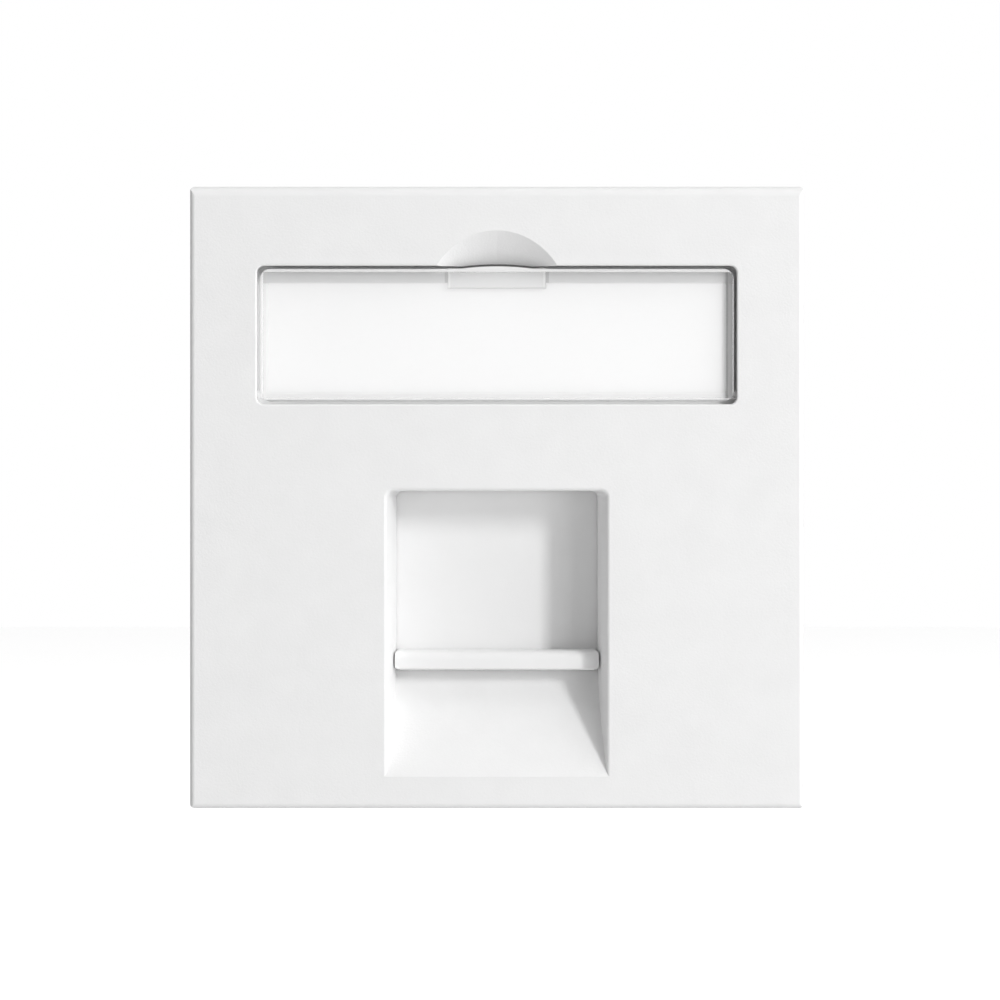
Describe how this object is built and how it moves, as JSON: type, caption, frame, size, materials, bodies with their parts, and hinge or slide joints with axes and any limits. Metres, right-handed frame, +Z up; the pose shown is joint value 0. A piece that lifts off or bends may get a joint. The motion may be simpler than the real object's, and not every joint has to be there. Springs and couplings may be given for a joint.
{
  "type": "keystone faceplate",
  "caption": "Square wiring faceplate with a shuttered port for a keystone jack, a ramp below it, and a clear cover over a paper label strip",
  "frame": {"origin": "centre of the ledge behind the flange, which seats on the front of the wiring frame", "axes": "+X to the right as seen from the front, +Y into the wall, +Z up"},
  "size_m": [0.0444, 0.0163, 0.045],
  "materials": {
    "white_plastic": "white ABS with a fine moulded texture",
    "clear_plastic": "clear polycarbonate, polished",
    "paper": "plain white paper card",
    "spring_steel": "drawn spring wire"
  },
  "bodies": {
    "plate": {"faceplate": "white_plastic", "keystone_holder": "white_plastic", "label_card": "paper", "shutter_spring_left": "spring_steel", "shutter_spring_right": "spring_steel"},
    "shutter": {"shutter": "white_plastic"},
    "label_cover": {"label_cover": "clear_plastic"}
  },
  "joints": [
    {"name": "shutter_slide", "type": "slide", "parent": "plate", "child": "shutter", "axis": [0, 0, 1], "range_m": [0, 0.0113], "stiffness_N_per_m": 30, "springref_m": -0.01, "deforming": ["shutter_spring_left", "shutter_spring_right"]},
    {"name": "cover_hinge", "type": "hinge", "parent": "plate", "child": "label_cover", "pos_m": [0, -0.0024, 0.00743], "axis": [1, 0, 0], "range_deg": [0, 90]}
  ]
}
